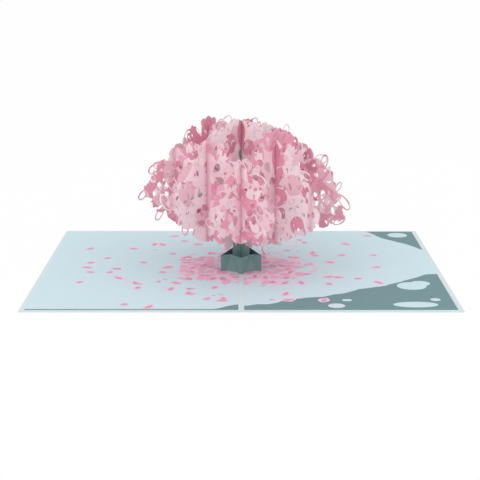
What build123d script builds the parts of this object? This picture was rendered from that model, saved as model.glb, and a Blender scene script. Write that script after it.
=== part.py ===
from build123d import *
import os
from math import cos, sin, pi, sqrt, hypot, radians

# Sizes are in mm. The card lies open on z = 0, its spine runs along y and the viewer is at -y.
# Folded card and the two sheets glued inside it
PAGE_W = 127.0
PAGE_D = 177.8
COVER_T = 0.4
CREASE_HALF = 0.6
CREASE_RISE = 0.12
PAGE_SHEET_T = 0.25
PAGE_MARGIN = 3.2
SPINE_GAP = 1.75

# Crown of six crossing slices: three run to the back right, three to the back left
PITCH = 29.7
CROWN_R = 60.5
CROWN_TOP = 92.5
CROWN_LOW = 19.5
END_TOP = 55.0
END_LOW = 42.0
LEAN = 8.0
FRONT_RISE_SHARE = 0.92
BACK_RISE_SHARE = 1.0
CREST_HALF = 4.5
BACK_LEFT_CREST = 9.0
SLICE_T = 0.3
LACE_T = 0.25
SLOT_CLEAR = 0.1
LAP_CLEAR = 0.05
LAP_SHARE = 0.42

# Cut edge and cut-outs of the blossom sheets
TOP_PETALS = 12
LOW_PETALS = 8
PETAL_BULGE = 0.3
FLOWER_R = 5.2
PETAL_HOLE_HALF = 1.35
SLICE_RISE_SHARE = 0.03

# Trunk and branches
TRUNK_HALF = 7.4
STEM_TOP_SHARE = 0.8
BRANCH_W = 3.2
BRANCH_TIP_W = 1.4
BRANCH_PASS = 5.0
TRUNK_SHOULDER = 4.0
TAB_LONG = 3.6
ROOT_CLEAR = 0.5

# Collar round the foot: a strip folded to a kite, with a valley pinched into each front wall
COLLAR_FRONT = 17.5
COLLAR_SIDE = 12.9
COLLAR_FORWARD = 11.5
COLLAR_BACK = 21.5
COLLAR_H = 10.5
COLLAR_T = 0.3
VALLEY_SHARE = 0.49
VALLEY_DEEP = 5.5
VALLEY_FOOT_SHARE = 0.5

PAGE_TOP = COVER_T + PAGE_SHEET_T
LAP_Z = CROWN_LOW + LAP_SHARE * (CROWN_TOP - CROWN_LOW)
HALF = sqrt(0.5)


def slice_plane(way, row):
    """The upright plane of a slice: way 1 runs to the back right, way -1 to the front right."""
    step = row * PITCH * HALF
    return Plane(
        origin=(step, -way * step, 0),
        x_dir=(HALF, way * HALF, 0),
        z_dir=(way * HALF, -HALF, 0),
    )


def crown_reach(row):
    """Half the length of a slice in this row, where the crown's edge meets the slice."""
    return sqrt(CROWN_R**2 - (row * PITCH) ** 2)


def crown_top(s, row, rise, crest):
    """Height of the upper edge, a dome with a small crest in the middle of the slice."""
    r = min(hypot(s, row * PITCH) / CROWN_R, 1.0)
    peak = crest * max(0.0, 1 - (s / CREST_HALF) ** 2 / 4)
    return END_TOP + (CROWN_TOP - END_TOP) * rise * (1 - r**2) + peak


def crown_low(s, row):
    """Height of the lower edge, which hangs deeper on the right side of the tree."""
    r = min(hypot(s, row * PITCH) / CROWN_R, 1.0)
    x = (s + row * PITCH) * HALF
    return CROWN_LOW + (END_LOW - LEAN * x / CROWN_R - CROWN_LOW) * r**1.5


def beside(start, end, spots):
    """Points given as a share along a side and a share of its length out from it."""
    (x0, y0), (x1, y1) = start, end
    dx, dy = x1 - x0, y1 - y0
    return [(x0 + dx * along + dy * out, y0 + dy * along - dx * out) for along, out in spots]


def petal_tip(start, end):
    """A petal's end with a notch, along one side of an outline taken anticlockwise."""
    b = PETAL_BULGE
    tip = [(0.0, 0.0), (0.14, 0.68 * b), (0.36, b), (0.5, 0.8 * b), (0.64, b), (0.86, 0.68 * b)]
    return beside(start, end, tip)


def plain_tip(start, end):
    """A petal's round end, for the lower edge."""
    b = PETAL_BULGE
    return beside(start, end, [(0.0, 0.0), (0.18, 0.75 * b), (0.5, b), (0.82, 0.75 * b)])


def rim_hole(start, end):
    """The opening inside a petal's end that leaves only its rim."""
    b = PETAL_BULGE
    hole = [(0.5, -1.1 * b), (0.76, -0.2 * b), (0.7, 0.58 * b)]
    hole += [(0.5, 0.42 * b), (0.3, 0.58 * b), (0.24, -0.2 * b)]
    return beside(start, end, hole)


def crown_outline(way, row, rise, crest, tops, lows):
    """The petalled edge of a slice, anticlockwise from its left end, and the openings along its top."""
    reach = crown_reach(row)
    under = [-reach * cos(pi * i / lows) for i in range(lows + 1)]
    over = [reach * cos(pi * i / tops) for i in range(tops + 1)]
    under = [(s, crown_low(s, row)) for s in under]
    over = [(s, crown_top(s, row, rise, crest)) for s in over]
    edge = []
    for start, end in zip(under, under[1:] + over[:1]):
        edge += plain_tip(start, end)
    holes = []
    for i, (start, end) in enumerate(zip(over, over[1:] + under[:1])):
        edge += petal_tip(start, end)
        slotted = any(end[0] <= bay * PITCH <= start[0] for bay in (-1, 0, 1))
        if i % 2 and i < tops and not (way == -1 and slotted):
            holes.append(rim_hole(start, end))
    return edge, holes


def flower_holes(s, z, radius, turn):
    """Five petal-shaped holes round one centre."""
    holes = []
    for i in range(5):
        a = radians(turn + 72 * i)
        ax, ay = cos(a), sin(a)
        half = PETAL_HOLE_HALF * radius / FLOWER_R
        points = [(0.22 * radius, 0.0), (0.72 * radius, -half), (radius, 0.0), (0.72 * radius, half)]
        holes.append([(s + ax * u - ay * v, z + ay * u + ax * v) for u, v in points])
    return holes


def crown_flowers(row, rise, crest, turn):
    """Flowers in the four bays between the slots and the crown's edge."""
    reach = crown_reach(row)
    arm = (PITCH + reach) / 2
    spots = [(-arm, 0.42), (-0.5 * PITCH, 0.3), (0.48 * PITCH, 0.5), (arm, 0.42)]
    holes = []
    for i, (s, share) in enumerate(spots):
        low = crown_low(s, row)
        tall = crown_top(s, row, rise, crest) - low
        radius = min(FLOWER_R, 0.26 * tall, 0.4 * (reach - PITCH))
        holes += flower_holes(s, low + share * tall, radius, turn + 31 * i)
    return holes


def sheet_solid(outline, holes, start, thick):
    """A flat cut sheet, laid out in the plane of its own slice."""
    face = Face(Wire.make_polygon(outline), [Wire.make_polygon(h) for h in holes])
    return Pos(0, 0, start) * extrude(face, thick, dir=(0, 0, 1))


def stack(row, way):
    """How far a slice and the sheets glued on it reach below and above its middle plane."""
    low = -SLICE_T / 2
    high = SLICE_T / 2
    front = row == way or row == 0
    back = row == -way or row == 0
    return (low - (LACE_T if back else 0), high + (LACE_T if front else 0))


def cut_slots(solid, way):
    """Half-lap slots for the three slices that cross this one: way 1 from below, way -1 from above."""
    for row in (-1, 0, 1):
        low, high = stack(row, -way)
        if way == 1:
            low, high = -high, -low
        wide = high - low + 2 * SLOT_CLEAR
        middle = row * PITCH + (low + high) / 2
        if way == 1:
            bottom, top = -COVER_T, LAP_Z + LAP_CLEAR
        else:
            bottom, top = LAP_Z - LAP_CLEAR, 2 * CROWN_TOP
        tool = Pos(middle, (bottom + top) / 2, 0) * Box(wide, top - bottom, 8 * (SLICE_T + LACE_T))
        solid -= tool
    return solid


def blossom_sheet(way, row, rise, crest, start, thick, tops, lows, turn):
    """One cut and slotted sheet of the crown, stood up in its place."""
    outline, holes = crown_outline(way, row, rise, crest, tops, lows)
    if turn is not None:
        holes += crown_flowers(row, rise, crest, turn)
    solid = cut_slots(sheet_solid(outline, holes, start, thick), way)
    return slice_plane(way, row) * solid


def root_reach():
    """Half the width of the trunk's foot, which stands clear of the collar's back walls at 45 degrees."""
    x = COLLAR_SIDE * COLLAR_BACK / (COLLAR_BACK + COLLAR_FORWARD + COLLAR_SIDE)
    return x / HALF - 2 * COLLAR_T - ROOT_CLEAR


def trunk_slice(way):
    """Trunk, stem and branches in one sheet, with tabs that pass through the page sheets."""
    root = root_reach()
    trunk = min(TRUNK_HALF, root)
    stem_top = CROWN_LOW + STEM_TOP_SHARE * (CROWN_TOP - CROWN_LOW)
    right = [
        (root, PAGE_TOP),
        (trunk, PAGE_TOP + COLLAR_H),
        (trunk, CROWN_LOW + TRUNK_SHOULDER),
        (0.6 * trunk, LAP_Z),
        (0.35 * trunk, stem_top),
    ]
    left = [(-x, z) for x, z in reversed(right)]
    shape = make_face(Polyline(*right, *left, close=True))
    reach = crown_reach(0) - FLOWER_R
    pass_z = LAP_Z + way * BRANCH_PASS
    for side in (-1, 1):
        fork = (0.0, 0.72 * LAP_Z)
        knee = (side * PITCH, pass_z)
        tip = (side * reach, (END_TOP + END_LOW) / 2)
        twig = (side * 0.8 * PITCH, pass_z + 0.3 * LAP_Z)
        for start, end, wide in ((fork, knee, BRANCH_W), (knee, tip, BRANCH_W / 2), (fork, twig, BRANCH_W)):
            shape += make_face(branch_outline(start, end, wide))
        middle = side * (root - TAB_LONG)
        tab = Pos(middle, (PAGE_TOP + COVER_T) / 2) * Rectangle(TAB_LONG, PAGE_SHEET_T)
        shape += tab
    solid = Pos(0, 0, -SLICE_T / 2) * extrude(shape, SLICE_T, dir=(0, 0, 1))
    return slice_plane(way, 0) * cut_slots(solid, way)


def branch_outline(start, end, wide):
    """A straight length of branch that narrows to the tip's width and runs a little past its end."""
    (x0, z0), (x1, z1) = start, end
    long = hypot(x1 - x0, z1 - z0)
    ux, uz = (x1 - x0) / long, (z1 - z0) / long
    a, b = wide / 2, BRANCH_TIP_W / 2
    x1, z1 = x1 + ux * b, z1 + uz * b
    points = [
        (x0 - uz * a, z0 + ux * a),
        (x0 + uz * a, z0 - ux * a),
        (x1 + uz * b, z1 - ux * b),
        (x1 - uz * b, z1 + ux * b),
    ]
    return Polyline(*points, close=True)


def card_cover():
    """One sheet with an embossed crease along the spine, lying flat."""
    profile = [
        (-PAGE_W, 0),
        (-CREASE_HALF, 0),
        (0, CREASE_RISE),
        (CREASE_HALF, 0),
        (PAGE_W, 0),
        (PAGE_W, COVER_T),
        (CREASE_HALF, COVER_T),
        (0, COVER_T + CREASE_RISE),
        (-CREASE_HALF, COVER_T),
        (-PAGE_W, COVER_T),
    ]
    section = Plane.XZ * make_face(Polyline(*profile, close=True))
    return Pos(0, PAGE_D / 2, 0) * extrude(section, PAGE_D, dir=(0, -1, 0))


def page_sheet(side):
    """One printed page, with slits for the tabs of both trunk slices."""
    wide = PAGE_W - PAGE_MARGIN - SPINE_GAP
    deep = PAGE_D - 2 * PAGE_MARGIN
    middle = side * (SPINE_GAP + wide / 2)
    page = Pos(middle, 0, COVER_T + PAGE_SHEET_T / 2) * Box(wide, deep, PAGE_SHEET_T)
    root = root_reach()
    for way in (1, -1):
        spot = Pos(side * (root - TAB_LONG), COVER_T, 0)
        slit = Box(TAB_LONG + 2 * SLOT_CLEAR, 2 * PAGE_SHEET_T + COVER_T, SLICE_T + 2 * SLOT_CLEAR)
        page -= slice_plane(way, 0) * spot * slit
    return page


def between(start, end, share):
    """A point part of the way from one point to another."""
    return tuple(a + share * (b - a) for a, b in zip(start, end))


def collar_half():
    """The right half of the collar as a full block, with a facet that leans in to the valley's top."""
    front = (0, -COLLAR_FRONT)
    side = (COLLAR_SIDE, -COLLAR_FORWARD)
    x, y = between(front, side, VALLEY_SHARE)
    valley = (x, y + VALLEY_DEEP)
    foot = between(front, valley, VALLEY_FOOT_SHARE)
    far_foot = between(side, valley, VALLEY_FOOT_SHARE)
    outline = make_face(Polyline(front, foot, far_foot, side, (0, COLLAR_BACK), close=True))
    recess = extrude(make_face(Polyline(foot, far_foot, valley, close=True)), COLLAR_H, dir=(0, 0, 1))
    along = Vector(*far_foot) - Vector(*foot)
    up = Vector(*valley, COLLAR_H) - Vector(*foot)
    facet = Plane(origin=foot, x_dir=along, z_dir=along.cross(up))
    return extrude(outline, COLLAR_H, dir=(0, 0, 1)) - split(recess, bisect_by=facet, keep=Keep.TOP)


def trunk_collar():
    """A strip folded into a closed ring, standing on the page sheets."""
    half = collar_half()
    block = half + mirror(half, about=Plane.YZ)
    ends = block.faces().filter_by(Axis.Z)
    ring = offset(block, -COLLAR_T, openings=ends, kind=Kind.INTERSECTION)
    return Pos(0, 0, PAGE_TOP) * ring


def build():
    half = SLICE_T / 2
    parts = {
        "card_cover": card_cover(),
        "left_page_sheet": page_sheet(-1),
        "right_page_sheet": page_sheet(1),
        "trunk_collar": trunk_collar(),
    }
    for way, letter in ((1, "a"), (-1, "b")):
        parts["trunk_slice_" + letter] = trunk_slice(way)
        for face, start, turn in (("front", half, 10), ("back", -half - LACE_T, 44)):
            name = "centre_blossom_" + letter + "_" + face
            tops = TOP_PETALS + (1 if face == "front" else 0)
            parts[name] = blossom_sheet(way, 0, 1.0, 0.0, start, LACE_T, tops, LOW_PETALS, turn + 20 * way)
    outer = (
        ("front_right", 1, 1, FRONT_RISE_SHARE, 0.0, 5),
        ("front_left", -1, -1, FRONT_RISE_SHARE, 0.0, 23),
        ("back_left", 1, -1, BACK_RISE_SHARE, BACK_LEFT_CREST, 37),
        ("back_right", -1, 1, BACK_RISE_SHARE, 0.0, 51),
    )
    for name, way, row, rise, crest, turn in outer:
        start = half if row == way else -half - LACE_T
        counts = (TOP_PETALS - 1, LOW_PETALS)
        over = rise + SLICE_RISE_SHARE
        parts[name + "_slice"] = blossom_sheet(way, row, over, crest, -half, SLICE_T, *counts, None)
        parts[name + "_blossom"] = blossom_sheet(way, row, rise, crest, start, LACE_T, *counts, turn)
    return parts


os.makedirs("parts", exist_ok=True)
for name, shape in build().items():
    export_step(shape, "parts/" + name + ".step")
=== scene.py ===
import random
from math import atan2, cos, hypot, pi, radians, sin, sqrt

import bmesh
import bpy
import numpy as np
from mathutils import Matrix, Vector


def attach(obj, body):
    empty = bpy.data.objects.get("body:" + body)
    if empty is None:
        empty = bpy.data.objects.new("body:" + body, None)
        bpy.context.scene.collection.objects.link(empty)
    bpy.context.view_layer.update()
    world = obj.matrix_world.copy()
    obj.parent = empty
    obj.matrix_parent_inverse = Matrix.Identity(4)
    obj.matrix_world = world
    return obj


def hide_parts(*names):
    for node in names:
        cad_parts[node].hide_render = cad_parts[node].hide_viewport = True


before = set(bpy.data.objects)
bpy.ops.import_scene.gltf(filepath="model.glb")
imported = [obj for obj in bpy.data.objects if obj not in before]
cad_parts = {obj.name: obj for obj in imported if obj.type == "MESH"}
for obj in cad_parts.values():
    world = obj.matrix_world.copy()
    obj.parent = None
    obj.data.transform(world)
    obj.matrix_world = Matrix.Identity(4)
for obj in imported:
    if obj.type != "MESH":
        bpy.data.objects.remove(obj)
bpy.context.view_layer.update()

# The crown's six slices stand 45 degrees to the spine, this far apart
PITCH = 0.0297
HALF = sqrt(0.5)
CROWN_MIDDLE = 0.05
OUTER_SLICES = {"front_left": (-1, -1), "front_right": (1, 1), "back_left": (1, -1), "back_right": (-1, 1)}
CENTRE_SLICES = {"a": 1, "b": -1}

# Paper left between two cuts and round a loop, and the reach of a cutting tool either side of a sheet
WEB = 0.0007
LOOP_BAND = 0.0010
SLIT_WIDE = 0.0008
TOOL_REACH = 0.004

# Least lean of a loop and how far out it sits as a share of its length, at the top of the crown and elsewhere
TOP_LOOP = (0.9, -0.1)
SIDE_LOOP = (0.4, 0.1)


def tint(red, green, blue):
    """A colour given as the eye reads it, from 0 to 255, in the renderer's linear scale."""
    return [((c / 255 + 0.055) / 1.055) ** 2.4 for c in (red, green, blue)] + [1.0]


# Finishes

def plug(tree, socket, value):
    if isinstance(value, bpy.types.NodeSocket):
        tree.links.new(value, socket)
    else:
        socket.default_value = value


def calc(tree, operation, first, second=0.0):
    node = tree.nodes.new("ShaderNodeMath")
    node.operation = operation
    plug(tree, node.inputs[0], first)
    plug(tree, node.inputs[1], second)
    return node.outputs[0]


def shift(tree, operation, first, second):
    node = tree.nodes.new("ShaderNodeVectorMath")
    node.operation = operation
    plug(tree, node.inputs[0], first)
    plug(tree, node.inputs[1], second)
    return node.outputs[0]


def ink_over(tree, mask, paper, ink):
    """The ink's colour where the mask is 1, and the paper's where it is 0."""
    node = tree.nodes.new("ShaderNodeMix")
    node.data_type = "RGBA"
    plug(tree, node.inputs[0], mask)
    plug(tree, node.inputs[6], paper)
    plug(tree, node.inputs[7], ink)
    return node.outputs[2]


def speckle(tree, place, scale, detail):
    node = tree.nodes.new("ShaderNodeTexNoise")
    node.inputs["Scale"].default_value = scale
    node.inputs["Detail"].default_value = detail
    plug(tree, node.inputs["Vector"], place)
    return node.outputs["Fac"]


def spread(tree, value, low, high, to_low, to_high):
    node = tree.nodes.new("ShaderNodeMapRange")
    for socket, number in zip(node.inputs[:5], (value, low, high, to_low, to_high)):
        plug(tree, socket, number)
    return node.outputs[0]


def object_place(tree):
    return tree.nodes.new("ShaderNodeTexCoord").outputs["Object"]


def sheet_place(tree):
    """Place on a crown sheet, along it and up it, from its own map."""
    node = tree.nodes.new("ShaderNodeUVMap")
    node.uv_map = "sheet"
    return node.outputs[0]


def petals_mask(tree, place, cell, long, wide, share, seed):
    """Loose petals, at most one to a cell, each turned its own way; share is how many cells have one."""
    moved = shift(tree, "ADD", place, (seed, 0.7 * seed, 0.0))
    cells = tree.nodes.new("ShaderNodeTexVoronoi")
    cells.voronoi_dimensions = "2D"
    cells.inputs["Scale"].default_value = 1 / cell
    cells.inputs["Randomness"].default_value = 0.8
    tree.links.new(moved, cells.inputs["Vector"])
    luck = tree.nodes.new("ShaderNodeSeparateColor")
    tree.links.new(cells.outputs["Color"], luck.inputs[0])
    turned = tree.nodes.new("ShaderNodeVectorRotate")
    turned.rotation_type = "Z_AXIS"
    tree.links.new(shift(tree, "SUBTRACT", moved, cells.outputs["Position"]), turned.inputs["Vector"])
    tree.links.new(calc(tree, "MULTIPLY", luck.outputs[0], 2 * pi), turned.inputs["Angle"])
    spot = tree.nodes.new("ShaderNodeSeparateXYZ")
    tree.links.new(turned.outputs[0], spot.inputs[0])
    along = calc(tree, "DIVIDE", spot.outputs[0], long / 2)
    taper = calc(tree, "ADD", calc(tree, "MULTIPLY", along, 0.45), 1.0)
    bulge = calc(tree, "SUBTRACT", 1.0, calc(tree, "MULTIPLY", along, along))
    edge = calc(tree, "MULTIPLY", calc(tree, "MULTIPLY", taper, bulge), wide / 2)
    petal = calc(tree, "LESS_THAN", calc(tree, "ABSOLUTE", spot.outputs[1]), edge)
    chosen = calc(tree, "LESS_THAN", luck.outputs[1], share)
    return calc(tree, "MULTIPLY", petal, chosen)


def oval_mask(tree, spot, x, y, half_x, half_y):
    across = calc(tree, "DIVIDE", calc(tree, "SUBTRACT", spot.outputs[0], x), half_x)
    deep = calc(tree, "DIVIDE", calc(tree, "SUBTRACT", spot.outputs[1], y), half_y)
    reach = calc(tree, "ADD", calc(tree, "MULTIPLY", across, across), calc(tree, "MULTIPLY", deep, deep))
    return calc(tree, "LESS_THAN", reach, 1.0)


# Fineness of the paper's fibres and of its mottle, and the height of its tooth
FIBRE_SCALE = 1500
MOTTLE_SCALE = 70
TOOTH = 0.00004


def paper_finish(name, colour, fibre=0.05, rough=0.82):
    """Matt paper with fine fibres, a soft mottle and a faint tooth: the finish, its tree and its colour."""
    finish = bpy.data.materials.new(name)
    finish.use_nodes = True
    tree = finish.node_tree
    shader = tree.nodes["Principled BSDF"]
    shader.inputs["Specular IOR Level"].default_value = 0.25
    place = object_place(tree)
    drawn = shift(tree, "MULTIPLY", place, (1.0, 0.45, 1.0))
    fibres = speckle(tree, drawn, FIBRE_SCALE, 3)
    mottle = speckle(tree, place, MOTTLE_SCALE, 2)
    shade = calc(tree, "ADD", calc(tree, "MULTIPLY", fibres, 0.55), calc(tree, "MULTIPLY", mottle, 0.45))
    dark = [c * (1 - 2 * fibre) for c in colour[:3]] + [1.0]
    light = [min(1.0, c * (1 + 2 * fibre)) for c in colour[:3]] + [1.0]
    colour_out = ink_over(tree, shade, dark, light)
    tree.links.new(spread(tree, fibres, 0.2, 0.8, rough - 0.08, rough + 0.08), shader.inputs["Roughness"])
    bump = tree.nodes.new("ShaderNodeBump")
    bump.inputs["Strength"].default_value = 0.25
    bump.inputs["Distance"].default_value = TOOTH
    tree.links.new(fibres, bump.inputs["Height"])
    tree.links.new(bump.outputs[0], shader.inputs["Normal"])
    tree.links.new(colour_out, shader.inputs["Base Color"])
    return finish, tree, colour_out


def print_on(tree, colour):
    tree.links.new(colour, tree.nodes["Principled BSDF"].inputs["Base Color"])


PAGE_BLUE = tint(205, 227, 234)
BANK_TEAL = tint(117, 147, 152)
BLUSH = tint(238, 205, 221)
ROSE = tint(238, 178, 205)
MAUVE = tint(220, 158, 189)
# A paler copy of the pale pink paper for the centre sheets: painted light that lifts them out of the crown's
# shade
CENTRE_LIT_PINK = tint(247, 226, 232)
PALE_PINK = tint(240, 214, 220)
FRONT_PINK = tint(235, 204, 212)
SOFT_PINK = tint(237, 196, 207)
MID_PINK = tint(233, 171, 189)
BRIGHT_PINK = tint(230, 155, 178)
DEEP_PINK = tint(217, 145, 167)

# A thin strip of the bank's colour runs along the front edge of both pages
FRONT_STRIP = -0.0848

# The bank's edge on each page: where it meets the spine, its slope there and its bend
BANK_EDGES = {-1: (-0.0765, 0.45, 0.0), 1: (-0.0785, 0.2, 2.6)}
BANK_WOBBLE = 0.016

# The dark back corner lies behind a line with this start and fall
CORNER_START = 0.201
CORNER_FALL = 1.3

# Pale ovals in the bank and the corner, by place and half sizes
PALE_OVALS = ((0.104, -0.042, 0.009, 0.0075), (0.110, -0.037, 0.006, 0.005),
              (0.101, -0.077, 0.013, 0.005), (0.114, -0.068, 0.003, 0.0025),
              (0.055, -0.079, 0.005, 0.004), (0.062, -0.069, 0.003, 0.002),
              (0.112, 0.076, 0.007, 0.006))

# Carpet of fallen petals round the trunk: how far forward its middle lies, and its half sizes
CARPET_FORWARD = 0.004
CARPET_HALF_X = 0.047
CARPET_HALF_Y = 0.036

# Deep pink field at the top of every crossing, partly the paper's deeper pink and partly painted shade in the
# crossing, and how far the painted shade reaches beside a crossing
SEAM_FIELD_TALL = 0.017
SEAM_FIELD_WIDE = 0.0085
CROSSING_SHADE_REACH = 0.0035

# Bright field printed on a crest: its middle below the crest's top, and its half sizes
CREST_FIELD_DROP = 0.007
CREST_FIELD_HALF_WIDE = 0.019
CREST_FIELD_HALF_TALL = 0.012


def page_finish(name, side):
    """Pale blue page with fallen petals, thick round the trunk, and a dark bank at the front."""
    finish, tree, colour = paper_finish(name, PAGE_BLUE, 0.02)
    place = object_place(tree)
    spot = tree.nodes.new("ShaderNodeSeparateXYZ")
    tree.links.new(place, spot.inputs[0])
    wobble = calc(tree, "MULTIPLY", calc(tree, "SUBTRACT", speckle(tree, place, 38, 2), 0.5), BANK_WOBBLE)
    far_x = calc(tree, "DIVIDE", spot.outputs[0], CARPET_HALF_X)
    far_y = calc(tree, "DIVIDE", calc(tree, "ADD", spot.outputs[1], CARPET_FORWARD), CARPET_HALF_Y)
    reach = calc(tree, "ADD", calc(tree, "MULTIPLY", far_x, far_x), calc(tree, "MULTIPLY", far_y, far_y))
    far = calc(tree, "SQRT", reach)

    # The bank's edge rises to the right along a plain curve, and starts left of the spine
    start, slope, bend = BANK_EDGES[side]
    lean = calc(tree, "ADD", calc(tree, "MULTIPLY", spot.outputs[0], bend), slope)
    edge = calc(tree, "ADD", calc(tree, "MULTIPLY", spot.outputs[0], lean), calc(tree, "ADD", wobble, start))
    bank = calc(tree, "LESS_THAN", spot.outputs[1], calc(tree, "MAXIMUM", edge, FRONT_STRIP))
    if side > 0:
        fall = calc(tree, "MULTIPLY", spot.outputs[0], CORNER_FALL)
        back_edge = calc(tree, "SUBTRACT", CORNER_START, fall)
        corner = calc(tree, "GREATER_THAN", spot.outputs[1], calc(tree, "ADD", back_edge, wobble))
        bank = calc(tree, "MAXIMUM", bank, corner)
        for oval in PALE_OVALS:
            outside = calc(tree, "SUBTRACT", 1.0, oval_mask(tree, spot, *oval))
            bank = calc(tree, "MULTIPLY", bank, outside)
    colour = ink_over(tree, bank, colour, BANK_TEAL)

    loose = spread(tree, far, 0.6, 2.7, 0.24, 0.02)
    thick = spread(tree, far, 0.7, 1.15, 1.0, 0.0)
    thin = spread(tree, far, 0.4, 1.1, 0.4, 0.0)
    for cell, long, wide, share, seed, ink in (
        (0.0085, 0.0120, 0.0085, thick, 0.31, BLUSH),
        (0.0080, 0.0105, 0.0058, thick, 0.83, ROSE),
        (0.0110, 0.0095, 0.0070, loose, 1.93, BLUSH),
        (0.0110, 0.0080, 0.0030, loose, 1.93, MAUVE),
        (0.0070, 0.0085, 0.0036, thin, 1.71, MAUVE),
        (0.0105, 0.0066, 0.0046, loose, 2.67, ROSE),
        (0.0105, 0.0050, 0.0022, loose, 2.67, MAUVE),
    ):
        petals = petals_mask(tree, place, cell, long, wide, share, seed + 0.4 * side)
        colour = ink_over(tree, petals, colour, ink)
    print_on(tree, colour)
    return finish


def seam_pink_and_shade_mask(tree, place, s, top):
    """A petal-shaped field below the top of one crossing, wider towards its top: deep pink that is partly the
    paper's own and partly painted shade in the crossing.
    """
    spot = tree.nodes.new("ShaderNodeSeparateXYZ")
    tree.links.new(place, spot.inputs[0])
    height = calc(tree, "SUBTRACT", spot.outputs[1], top - 0.4 * SEAM_FIELD_TALL)
    up = calc(tree, "DIVIDE", height, SEAM_FIELD_TALL / 2)
    flare = calc(tree, "ADD", calc(tree, "MULTIPLY", up, 0.4), 0.8)
    half = calc(tree, "MULTIPLY", flare, SEAM_FIELD_WIDE / 2)
    side = calc(tree, "DIVIDE", calc(tree, "SUBTRACT", spot.outputs[0], s), half)
    reach = calc(tree, "ADD", calc(tree, "MULTIPLY", up, up), calc(tree, "MULTIPLY", side, side))
    return calc(tree, "LESS_THAN", reach, 1.0)


def crossing_painted_shade(tree, place, colour):
    """Painted shade: a deeper pink that fades out on both sides of every crossing, where the crossing sheets
    shade each other.
    """
    spot = tree.nodes.new("ShaderNodeSeparateXYZ")
    tree.links.new(place, spot.inputs[0])
    gap = calc(tree, "PINGPONG", spot.outputs[0], PITCH / 2)
    return ink_over(tree, spread(tree, gap, 0.0, CROSSING_SHADE_REACH, 0.6, 0.0), colour, DEEP_PINK)


def printed_petals(tree, place, colour, layers):
    for cell, long, wide, share, seed, ink in layers:
        colour = ink_over(tree, petals_mask(tree, place, cell, long, wide, share, seed), colour, ink)
    return colour


def blossom_finish(name, seed, seams, paper, ink):
    """Pale pink paper printed with a deeper blush in petal shapes; ink is how thickly they lie."""
    finish, tree, colour = paper_finish(name, paper, 0.03)
    place = sheet_place(tree)
    colour = printed_petals(tree, place, colour, (
        (0.0160, 0.0190, 0.0130, 0.55 * ink, seed + 0.2, SOFT_PINK),
        (0.0135, 0.0150, 0.0115, 0.50 * ink, seed + 0.9, BRIGHT_PINK),
        (0.0100, 0.0105, 0.0062, 0.32, seed + 1.7, PALE_PINK),
        (0.0085, 0.0075, 0.0036, 0.30 * ink, seed + 2.3, DEEP_PINK),
    ))
    # Painted shade along every crossing, deepest at the crossing line
    colour = crossing_painted_shade(tree, place, colour)
    # Deep pink field at the top of a crossing, partly the paper's pink and partly painted shade
    for s, top in seams:
        colour = ink_over(tree, seam_pink_and_shade_mask(tree, place, s, top), colour, DEEP_PINK)
    print_on(tree, colour)
    return finish


def slice_finish(name, seed, seams):
    """Deeper pink paper printed with paler petals, and brighter on a crest."""
    finish, tree, colour = paper_finish(name, MID_PINK, 0.03)
    place = sheet_place(tree)
    colour = printed_petals(tree, place, colour, (
        (0.0150, 0.0190, 0.0130, 0.75, seed + 0.5, PALE_PINK),
        (0.0110, 0.0120, 0.0080, 0.30, seed + 1.3, DEEP_PINK),
        (0.0095, 0.0105, 0.0065, 0.45, seed + 2.1, SOFT_PINK),
    ))
    spot = tree.nodes.new("ShaderNodeSeparateXYZ")
    tree.links.new(place, spot.inputs[0])
    for s, top in seams:
        middle = top - CREST_FIELD_DROP
        crest = oval_mask(tree, spot, s, middle, CREST_FIELD_HALF_WIDE, CREST_FIELD_HALF_TALL)
        colour = ink_over(tree, crest, colour, BRIGHT_PINK)
        # Deep pink field at the top of the crossing, partly the paper's pink and partly painted shade
        colour = ink_over(tree, seam_pink_and_shade_mask(tree, place, s, top), colour, DEEP_PINK)
    print_on(tree, colour)
    return finish


FINISHES = {
    "pale_blue_card": paper_finish("pale_blue_card", tint(212, 227, 231), 0.02)[0],
    "left_page_print": page_finish("left_page_print", -1),
    "right_page_print": page_finish("right_page_print", 1),
    "collar_teal": paper_finish("collar_teal", tint(118, 151, 149), 0.05, 0.7)[0],
    # The trunk's teal is a lighter copy of the collar's teal card: painted light on the trunk, which stands
    # in the shade of the crown and collar
    "trunk_lit_teal": paper_finish("trunk_lit_teal", tint(138, 172, 168), 0.05, 0.7)[0],
}
for node, finish in (("card_cover", "pale_blue_card"), ("left_page_sheet", "left_page_print"),
                     ("right_page_sheet", "right_page_print"), ("trunk_collar", "collar_teal"),
                     ("trunk_slice_a", "trunk_lit_teal"), ("trunk_slice_b", "trunk_lit_teal")):
    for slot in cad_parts[node].material_slots:
        slot.material = FINISHES[finish]


# Cut sheets of the crown, worked in their own plane: s along the sheet, z up it and n out of it

# Crossings whose deep pink field is seen, partly the paper's pink and partly painted shade, by place along
# the sheet and height of the top
SEAM_TOPS = {"a": ((0.0, 0.0925),), "b": ((0.0, 0.0925), (PITCH, 0.0835)), "front_right": ((0.0, 0.0812),)}

# Petals that stand over the middle of two slices, each with its lean and length
CRESTS = {"back_left": ((55, 0.0125), (90, 0.0140), (125, 0.0125)),
          "front_right": ((25, 0.0225), (58, 0.0225), (90, 0.0225), (122, 0.0225), (155, 0.0225))}
CREST_SEAMS = {"back_left": ((0.0, 0.0925),), "front_right": ((0.0, 0.0905),)}
OPEN_CREST_PETAL = 0.02

# Openings along the outer edge: first direction, sweep in degrees, and sizes
RIM_START = -60
RIM_SWEEP = 300
RIM_SIZES = (0.0120, 0.0098, 0.0080, 0.0064, 0.0050, 0.0040, 0.0031)

# Windows in the centre sheets where a branch shows: place, height and turn
BRANCH_BARS = {"a": ((0.037, 0.0533, -0.26), (-0.037, 0.0533, 0.26)),
               "b": ((0.037, 0.0461, 0.13), (-0.037, 0.0461, -0.13))}
BAR_LONG = 0.0085
BAR_WIDE = 0.0036

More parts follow.
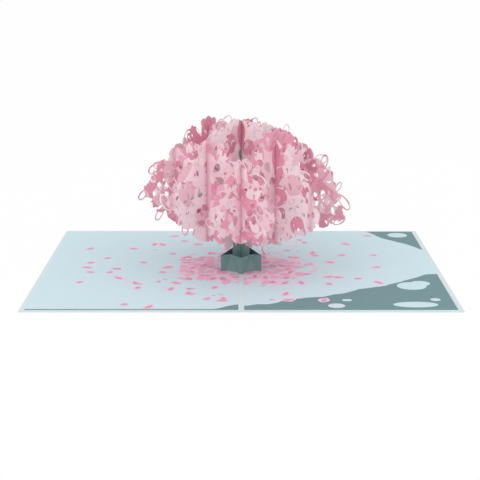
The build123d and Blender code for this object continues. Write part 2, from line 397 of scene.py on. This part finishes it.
# Kinds of opening: shape, shortest and longest, and width as a share of the length
WINDOWS = (("petal", 0.0080, 0.0130, 0.85), ("petal", 0.0060, 0.0095, 0.75))
HOLES = (("petal", 0.0030, 0.0058, 0.7), ("sickle", 0.0034, 0.0060, 0.5))
END_HOLES = (("petal", 0.0075, 0.0125, 0.85), ("petal", 0.0050, 0.0080, 0.85),
             ("petal", 0.0034, 0.0052, 0.85))
SMALL_BLOSSOMS = (("blossom", 0.0046, 0.0062, 1.4),)
SLITS = (("slit", 0.0045, 0.0085, 0.5),)
END_START = 0.034
CLUSTER_SPREAD = 0.0045

# Edge of a sheet: direction of the first and last, step between them and share kept, then the size
STAR_ARC = (-20, 200, 31)
STAR_SIZE = 0.0070
LOOP_ARC = (-60, 240, 20, 0.75)
LOOP_SIZE = 0.0120
BITE_SIZE = 0.0072

def slice_place(way, row):
    step = row * PITCH * HALF
    return Matrix((
        (HALF, 0, way * HALF, step),
        (way * HALF, 0, -HALF, -way * step),
        (0, 1, 0, 0),
        (0, 0, 0, 1),
    ))


def sheet_copy(node, place):
    sheet = bmesh.new()
    sheet.from_mesh(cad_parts[node].data)
    bmesh.ops.remove_doubles(sheet, verts=sheet.verts, dist=1e-6)
    bmesh.ops.transform(sheet, matrix=place.inverted(), verts=sheet.verts)
    sheet.normal_update()
    return sheet


def cut_lines(sheet):
    """The edges of a sheet's front face as two rows of points, where each line starts and ends."""
    lines = []
    for edge in sheet.edges:
        rises = [face.normal.z for face in edge.link_faces]
        if max(rises) > 0.5 and min(abs(r) for r in rises) < 0.5:
            lines.append([v.co.xy for v in edge.verts])
    lines = np.array(lines)
    return lines[:, 0], lines[:, 1]


def room(lines, s, z):
    """Distance to the nearest cut edge, below zero where there is no paper."""
    start, end = lines
    run = end - start
    spot = np.array((s, z))
    share = np.clip(((spot - start) * run).sum(1) / (run ** 2).sum(1), 0, 1)
    gap = np.hypot(*(spot - start - share[:, None] * run).T).min()
    crossed = (start[:, 1] > z) != (end[:, 1] > z)
    rise = np.where(crossed, run[:, 1], 1.0)
    right = start[:, 0] + (z - start[:, 1]) / rise * run[:, 0] > s
    return gap if (crossed & right).sum() % 2 else -gap


def rim_spot(lines, angle):
    """The furthest edge from the crown's middle in one direction."""
    start, end = lines
    ray = np.array((cos(angle), sin(angle)))
    across = np.array((-ray[1], ray[0]))
    middle = np.array((0.0, CROWN_MIDDLE))
    low, high = (start - middle) @ across, (end - middle) @ across
    meets = (low > 0) != (high > 0)
    share = np.where(meets, low / np.where(meets, low - high, 1.0), 0.0)
    reach = ((start - middle) + share[:, None] * (end - start)) @ ray
    return middle + ray * reach[meets].max()


def spot_matrix(s, z, turn):
    return Matrix.Translation((s, z, 0)) @ Matrix.Rotation(turn, 4, "Z")


def stand_up(tool, verts, faces, place, low, high):
    """Gives a flat shape its thickness and sets it in its place."""
    grown = bmesh.ops.extrude_face_region(tool, geom=faces)["geom"]
    top = [g for g in grown if isinstance(g, bmesh.types.BMVert)]
    bmesh.ops.translate(tool, verts=verts, vec=(0, 0, low))
    bmesh.ops.translate(tool, verts=top, vec=(0, 0, high))
    bmesh.ops.transform(tool, matrix=place, verts=verts + top)


def petal_tool(tool, s, z, turn, long, wide, bend=0.0, sides=12, low=-TOOL_REACH, high=TOOL_REACH):
    """A petal, drawn out to a point at its start, or with a bend a sickle."""
    verts = bmesh.ops.create_circle(tool, cap_ends=True, segments=sides, radius=1.0)["verts"]
    faces = [verts[0].link_faces[0]]
    for v in verts:
        x, y = v.co.xy
        v.co.xy = (long * x / 2, wide / 2 * y * (0.62 + 0.38 * x) + bend * (1 - x * x))
    stand_up(tool, verts, faces, spot_matrix(s, z, turn), low, high)


def blossom_tool(tool, s, z, turn, radius):
    """Five separate petals round a small middle that stays."""
    for i in range(5):
        a = turn + i * 2 * pi / 5
        along, up = s + 0.62 * radius * cos(a), z + 0.62 * radius * sin(a)
        petal_tool(tool, along, up, a, 0.74 * radius, 0.72 * radius, sides=9)


def star_blossom(tool, s, z, turn, radius, low, high):
    """A five-petal blossom of paper."""
    verts = bmesh.ops.create_circle(tool, cap_ends=True, segments=30, radius=1.0)["verts"]
    faces = [verts[0].link_faces[0]]
    for v in verts:
        a = atan2(v.co.y, v.co.x)
        v.co.xy *= radius * (0.5 + 0.5 * abs(cos(2.5 * a)) ** 0.55)
    stand_up(tool, verts, faces, spot_matrix(s, z, turn), low, high)


def petal_loop(tool, s, z, turn, long, wide, band, low, high):
    """The outline of a petal as a narrow band of paper, its slim end first."""
    outer = bmesh.ops.create_circle(tool, segments=16, radius=1.0)["verts"]
    rim = list(dict.fromkeys(edge for v in outer for edge in v.link_edges))
    grown = bmesh.ops.extrude_edge_only(tool, edges=rim)["geom"]
    inner = [g for g in grown if isinstance(g, bmesh.types.BMVert)]
    faces = [g for g in grown if isinstance(g, bmesh.types.BMFace)]
    bmesh.ops.scale(tool, vec=(long / 2, wide / 2, 1), verts=outer)
    bmesh.ops.scale(tool, vec=(long / 2 - band, wide / 2 - band, 1), verts=inner)
    for v in outer + inner:
        v.co.y *= 0.78 + 0.44 * v.co.x / long
    stand_up(tool, outer + inner, faces, spot_matrix(s, z, turn), low, high)


def carve(sheet, tool, operation):
    """The sheet with the tool's shapes taken out or joined on."""
    bmesh.ops.recalc_face_normals(tool, faces=tool.faces)
    pair = []
    for shape in (sheet, tool):
        mesh = bpy.data.meshes.new("cut")
        shape.to_mesh(mesh)
        pair.append(bpy.data.objects.new("cut", mesh))
        bpy.context.scene.collection.objects.link(pair[-1])
    cut = pair[0].modifiers.new("cut", "BOOLEAN")
    cut.operation = operation
    cut.solver = "EXACT"
    cut.use_self = True
    cut.object = pair[1]
    result = pair[0].evaluated_get(bpy.context.evaluated_depsgraph_get())
    sheet.clear()
    sheet.from_mesh(result.to_mesh())
    result.to_mesh_clear()
    for shape in pair:
        bpy.data.meshes.remove(shape.data)
    sheet.normal_update()


def near_slot(s, clear):
    return any(abs(s - bay * PITCH) < clear for bay in (-1, 0, 1))


def discs(s, z, turn, long, wide):
    """Three rounds that cover a petal."""
    ax, az = cos(turn), sin(turn)
    return [(s + share * long * ax, z + share * long * az, part * wide / 2)
            for share, part in ((-0.34, 0.34), (0.0, 0.68), (0.28, 0.74))]


def fits(sheets, taken, spot):
    """True where a petal leaves a web of paper to every edge of the sheets and to the cuts made so far."""
    for s, z, r in discs(*spot):
        if any(hypot(s - u, z - v) < r + q + WEB for u, v, q in taken):
            return False
        if any(room(lines, s, z) < r + WEB for lines in sheets):
            return False
    return True


def flower_petals(lines, behind, taken):
    """The petals of the flowers cut in a sheet's ends: rings of four points, drawn out beyond their tips."""
    rings = []
    for pair in zip(*lines):
        ends = {tuple(np.round(p, 6)) for p in pair}
        near = [ring for ring in rings if ring & ends]
        rings = [ring for ring in rings if not ring & ends] + [ends.union(*near)]
    spots = []
    for points in (np.array(sorted(ring)) for ring in rings if len(ring) == 4):
        middle = points.mean(0)
        foot, tip, left, right = sorted(points, key=lambda p: -hypot(*(p - middle)))
        along, up = tip - foot
        long, wide = hypot(along, up), 2 * hypot(*(left - right))
        for grow in (1.5, 1.35, 1.2, 1.05):
            s, z = foot + grow / 2 * (tip - foot)
            spot = (s, z, atan2(up, along), grow * long, wide * grow / 1.35)
            if abs(s) > PITCH and fits([behind], [], spot):
                spots.append(("petal",) + spot)
                break
    taken += [disc for spot in spots for disc in discs(*spot[1:])]
    return spots


def rim_lace(sheets, luck, taken, step, depth, sizes, stray=0.0):
    """A row of petal openings inside the outer edge, the largest first; stray scatters them."""
    spots = []
    for long in sizes:
        for i in range(round(RIM_SWEEP / step)):
            a = radians(RIM_START + i * step + luck.uniform(-0.3, 0.3) * step)
            s, z = rim_spot(sheets[0], a)
            inset = depth * (1 + stray * luck.random()) + 0.5 * long
            turn = a + luck.uniform(-0.4, 0.4) * (1 + 2 * stray)
            spot = (s - inset * cos(a), z - inset * sin(a), turn, long, 0.85 * long)
            if fits(sheets, taken, spot):
                spots.append(("petal",) + spot)
                taken += discs(*spot)
    return spots


def scattered_lace(sheets, luck, taken, box, tries, kinds):
    """Openings of the given kinds, wherever there is room for one."""
    spots = []
    for _ in range(tries):
        kind, shortest, longest, slim = luck.choice(kinds)
        long = luck.uniform(shortest, longest)
        s, z = luck.uniform(box[0], box[1]), luck.uniform(box[2], box[3])
        spot = (s, z, luck.uniform(0, 2 * pi), long, slim * long)
        if fits(sheets, taken, spot):
            spots.append((kind,) + spot)
            taken += discs(*spot)
    return spots


def clustered_flecks(sheets, luck, taken, box, clusters):
    """Small sickles and drops in loose groups."""
    spots = []
    for _ in range(clusters):
        s0, z0 = luck.uniform(box[0], box[1]), luck.uniform(box[2], box[3])
        for _ in range(luck.randint(5, 11)):
            long = luck.uniform(0.0014, 0.0042)
            s, z = luck.gauss(s0, CLUSTER_SPREAD), luck.gauss(z0, CLUSTER_SPREAD)
            spot = (s, z, luck.uniform(0, 2 * pi), long, 0.42 * long)
            if fits(sheets, taken, spot):
                spots.append((luck.choice(("sickle", "sickle", "petal")),) + spot)
                taken += discs(*spot)
    return spots


def cut_lace(sheet, spots):
    tool = bmesh.new()
    for kind, s, z, turn, long, wide in spots:
        if kind == "blossom":
            blossom_tool(tool, s, z, turn, long / 2)
        elif kind == "petal":
            petal_tool(tool, s, z, turn, long, wide)
        elif kind == "slit":
            petal_tool(tool, s, z, turn, long, SLIT_WIDE, 0.2 * long)
        else:
            petal_tool(tool, s, z, turn, long, 0.6 * wide, 0.3 * wide)
    carve(sheet, tool, "DIFFERENCE")


def drop_scraps(sheet):
    """Keeps only the largest connected piece."""
    left = set(sheet.faces)
    pieces = []
    while left:
        piece = {left.pop()}
        grow = list(piece)
        while grow:
            near = {face for edge in grow.pop().edges for face in edge.link_faces} & left
            left -= near
            piece |= near
            grow += near
        pieces.append(piece)
    pieces.sort(key=len)
    scraps = [face for piece in pieces[:-1] for face in piece]
    bmesh.ops.delete(sheet, geom=scraps, context="FACES")


def edge_bites(lines, angles, luck, long):
    """Petal-shaped bites out of the outer edge, clear of the slots."""
    spots = []
    for angle in angles:
        a = radians(angle)
        s, z = rim_spot(lines, a)
        size = long * luck.uniform(0.6, 1.4)
        if not near_slot(s, 0.5 * size + WEB):
            spots.append(("petal", s, z, a + luck.uniform(-0.6, 0.6), size, 0.8 * size))
    return spots


def inside_levels(sheet, share=0.1):
    """Just inside the two faces of a sheet, where shapes that are joined on begin and end."""
    levels = [v.co.z for v in sheet.verts]
    skin = share * (max(levels) - min(levels))
    return min(levels) + skin, max(levels) - skin


def add_crest(sheet, lines, petals):
    """Joins a tuft of petals to a sheet's top, over its middle slot, and gives the long ones' openings."""
    s, z = rim_spot(lines, radians(90))
    tool = bmesh.new()
    openings = []
    for i, (turn, long) in enumerate(petals):
        a = radians(turn)
        low, high = inside_levels(sheet, 0.2 + 0.03 * i)
        petal_tool(tool, s + 0.3 * long * cos(a), z - 0.12 * long, a, long, 0.62 * long, low=low, high=high)
        if long > OPEN_CREST_PETAL:
            along, up = s + 0.55 * long * cos(a), z + (0.25 * sin(a) - 0.12) * long
            openings.append(("petal", along, up, a, 0.26 * long, 0.2 * long))
    carve(sheet, tool, "UNION")
    return openings


def add_edging(sheet, lines, angles, luck, kind, size):
    """Joins loops or blossoms to a sheet's outer edge, clear of the slots."""
    low, high = inside_levels(sheet)
    tool = bmesh.new()
    for angle in angles:
        a = radians(angle)
        s, z = rim_spot(lines, a)
        long = size * luck.uniform(0.8, 1.2)
        if near_slot(s, 0.6 * long + 0.0006):
            continue
        if kind == "loop":
            least, out = TOP_LOOP if abs(angle - 90) < 40 else SIDE_LOOP
            lean = luck.choice((-1, 1)) * luck.uniform(least, least + 0.5)
            petal_loop(tool, s + out * long * cos(a), z + out * long * sin(a), a + lean, long, 0.6 * long,
                       LOOP_BAND, low, high)
        else:
            along, up = s - 0.1 * long * cos(a), z - 0.1 * long * sin(a)
            star_blossom(tool, along, up, luck.uniform(0, 1.2), long / 2, low, high)
    carve(sheet, tool, "UNION")


def set_sheet(sheet, node, place, finish):
    """Stands a finished sheet in the card in place of its plain solid."""
    bmesh.ops.remove_doubles(sheet, verts=sheet.verts, dist=1e-7)
    bmesh.ops.recalc_face_normals(sheet, faces=sheet.faces)
    own_map = sheet.loops.layers.uv.new("sheet")
    for face in sheet.faces:
        for loop in face.loops:
            loop[own_map].uv = loop.vert.co.xy
    bmesh.ops.transform(sheet, matrix=place, verts=sheet.verts)
    mesh = bpy.data.meshes.new(node + "_lace")
    sheet.to_mesh(mesh)
    sheet.free()
    piece = bpy.data.objects.new(node + "_lace", mesh)
    bpy.context.scene.collection.objects.link(piece)
    mesh.materials.append(finish)
    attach(piece, "root")
    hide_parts(node)


def sheet_box(sheet):
    spots = [v.co for v in sheet.verts]
    along, up = [p.x for p in spots], [p.y for p in spots]
    return min(along), max(along), min(up), max(up)


def edging_angles(luck, first, last, step, share=1.0):
    """Directions along the outer edge, not quite evenly apart; share is how many are kept."""
    count = round((last - first) / step)
    angles = [first + step * (i + luck.uniform(-0.35, 0.35)) for i in range(count)]
    return [angle for angle in angles if luck.random() < share]


def open_lace(sheets, luck, taken, box):
    """Openings that go through every sheet of a slice, largest at the rim and at both ends."""
    spots = rim_lace(sheets, luck, taken, 4, 0.0010, RIM_SIZES)
    spots += rim_lace(sheets, luck, taken, 9, 0.0090, RIM_SIZES[2:], 1.0)
    for side in (-1, 1):
        end_box = (side * END_START, side * box[1], box[2], box[3])
        spots += scattered_lace(sheets, luck, taken, end_box, 600, END_HOLES)
    return spots


def outer_slice(name, way, row):
    """A deep pink slice and the pale sheet on its outward face, cut together."""
    luck = random.Random(name)
    place = slice_place(way, row)
    deep = sheet_copy(name + "_slice", place)
    pale = sheet_copy(name + "_blossom", place)
    deep_lines, pale_lines = cut_lines(deep), cut_lines(pale)
    both = [pale_lines, deep_lines]
    box = sheet_box(pale)
    taken = []
    through = flower_petals(pale_lines, deep_lines, taken)
    through += open_lace(both, luck, taken, box)
    windows = scattered_lace([pale_lines], luck, taken, box, 240, WINDOWS)
    through += scattered_lace(both, luck, taken, box, 130, HOLES)
    through += clustered_flecks(both, luck, taken, box, 16)
    flecks = scattered_lace([pale_lines], luck, taken, box, 160, SMALL_BLOSSOMS)
    flecks += clustered_flecks([pale_lines], luck, taken, box, 10)
    flecks += scattered_lace([pale_lines], luck, taken, box, 200, SLITS)
    bites = edge_bites(deep_lines, edging_angles(luck, 0, 360, 15), luck, BITE_SIZE)
    openings = add_crest(deep, deep_lines, CRESTS[name]) if name in CRESTS else []
    cut_lace(deep, through + bites + openings)
    add_edging(deep, deep_lines, edging_angles(luck, *STAR_ARC), luck, "star", STAR_SIZE)
    drop_scraps(deep)
    finish = slice_finish("deep_pink_" + name, place.translation.x * 40, CREST_SEAMS.get(name, ()))
    set_sheet(deep, name + "_slice", place, finish)
    cut_lace(pale, windows + through + flecks + bites)
    add_edging(pale, pale_lines, edging_angles(luck, *LOOP_ARC), luck, "loop", LOOP_SIZE)
    drop_scraps(pale)
    paper, ink = (FRONT_PINK, 1.4) if name.startswith("front") else (PALE_PINK, 1.0)
    seams = SEAM_TOPS.get(name, ())
    finish = blossom_finish("pale_pink_" + name, place.translation.y * 40, seams, paper, ink)
    set_sheet(pale, name + "_blossom", place, finish)


def centre_slice(letter, way):
    """The two pale sheets on either side of a trunk slice, with windows where its branches show."""
    luck = random.Random(letter)
    place = slice_place(way, 0)
    # Paler paper and thinner print on the centre sheets: painted light lifting them out of the shade of the
    # slices round them
    finish = blossom_finish("pale_pink_centre_" + letter, 3.0 + way, SEAM_TOPS[letter], CENTRE_LIT_PINK, 0.6)
    nodes = ["centre_blossom_" + letter + "_" + face for face in ("front", "back")]
    sheets = [sheet_copy(node, place) for node in nodes]
    both = [cut_lines(sheet) for sheet in sheets]
    box = sheet_box(sheets[0])
    taken = []
    through = []
    for s, z, turn in BRANCH_BARS[letter]:
        bar = (s, z, turn, BAR_LONG, BAR_WIDE)
        if fits(both, taken, bar):
            through.append(("petal",) + bar)
            taken += discs(*bar)
    through += open_lace(both, luck, taken, box)
    through += scattered_lace(both, luck, taken, box, 150, HOLES)
    through += scattered_lace(both, luck, taken, box, 120, SMALL_BLOSSOMS)
    through += clustered_flecks(both, luck, taken, box, 14)
    through += scattered_lace(both, luck, taken, box, 200, SLITS)
    bites = edge_bites(both[0], edging_angles(luck, 0, 360, 13), luck, BITE_SIZE)
    for node, sheet, lines in zip(nodes, sheets, both):
        cut_lace(sheet, through + bites)
        if node.endswith("front"):
            add_edging(sheet, lines, edging_angles(luck, *LOOP_ARC), luck, "loop", LOOP_SIZE)
        drop_scraps(sheet)
        set_sheet(sheet, node, place, finish)


for name, (way, row) in OUTER_SLICES.items():
    outer_slice(name, way, row)
for letter, way in CENTRE_SLICES.items():
    centre_slice(letter, way)


# Floor, light and camera

def pale_floor():
    plane = bmesh.new()
    bmesh.ops.create_grid(plane, x_segments=1, y_segments=1, size=6.0)
    bmesh.ops.translate(plane, verts=plane.verts, vec=(0, 0, -0.0003))
    mesh = bpy.data.meshes.new("pale_floor")
    plane.to_mesh(mesh)
    plane.free()
    floor = bpy.data.objects.new("pale_floor", mesh)
    bpy.context.scene.collection.objects.link(floor)
    finish = bpy.data.materials.new("white_floor")
    finish.use_nodes = True
    tree = finish.node_tree
    tree.nodes["Principled BSDF"].inputs["Base Color"].default_value = (0.95, 0.95, 0.95, 1)
    tree.nodes["Principled BSDF"].inputs["Roughness"].default_value = 0.9
    glow = tree.nodes.new("ShaderNodeEmission")
    seen = tree.nodes.new("ShaderNodeLightPath").outputs["Is Camera Ray"]
    blend = tree.nodes.new("ShaderNodeMixShader")
    tree.links.new(calc(tree, "MULTIPLY", seen, 0.92), blend.inputs[0])
    tree.links.new(tree.nodes["Principled BSDF"].outputs[0], blend.inputs[1])
    tree.links.new(glow.outputs[0], blend.inputs[2])
    tree.links.new(blend.outputs[0], tree.nodes["Material Output"].inputs["Surface"])
    mesh.materials.append(finish)


def white_room():
    world = bpy.data.worlds.new("white_room")
    bpy.context.scene.world = world
    world.use_nodes = True
    tree = world.node_tree
    sky = tree.nodes["Background"]
    sky.inputs["Color"].default_value = (1, 1, 1, 1)
    rays = tree.nodes.new("ShaderNodeLightPath")
    seen = calc(tree, "MAXIMUM", rays.outputs["Is Camera Ray"], rays.outputs["Is Glossy Ray"])
    tree.links.new(spread(tree, seen, 0.0, 1.0, 0.89, 1.0), sky.inputs["Strength"])


def softbox(name, at, size, power):
    light = bpy.data.lights.new(name, "AREA")
    light.size = size
    light.energy = power
    lamp = bpy.data.objects.new(name, light)
    lamp.location = at
    lamp.rotation_euler = (Vector((0, 0, 0.04)) - Vector(at)).to_track_quat("-Z", "Y").to_euler()
    bpy.context.scene.collection.objects.link(lamp)


def photo_camera():
    lens = bpy.data.cameras.new("photo_camera")
    lens.sensor_width = 36
    lens.lens = 79.64
    camera = bpy.data.objects.new("photo_camera", lens)
    camera.location = (-0.00073, -0.65917, 0.20043)
    camera.rotation_euler = (radians(74.539), 0, 0)
    bpy.context.scene.collection.objects.link(camera)
    bpy.context.scene.camera = camera


pale_floor()
white_room()
softbox("key_softbox", (-0.8, -1.0, 0.9), 1.2, 3.8)
softbox("fill_softbox", (0.9, -0.6, 0.8), 0.9, 1.8)
photo_camera()
bpy.context.scene.view_settings.view_transform = "Standard"
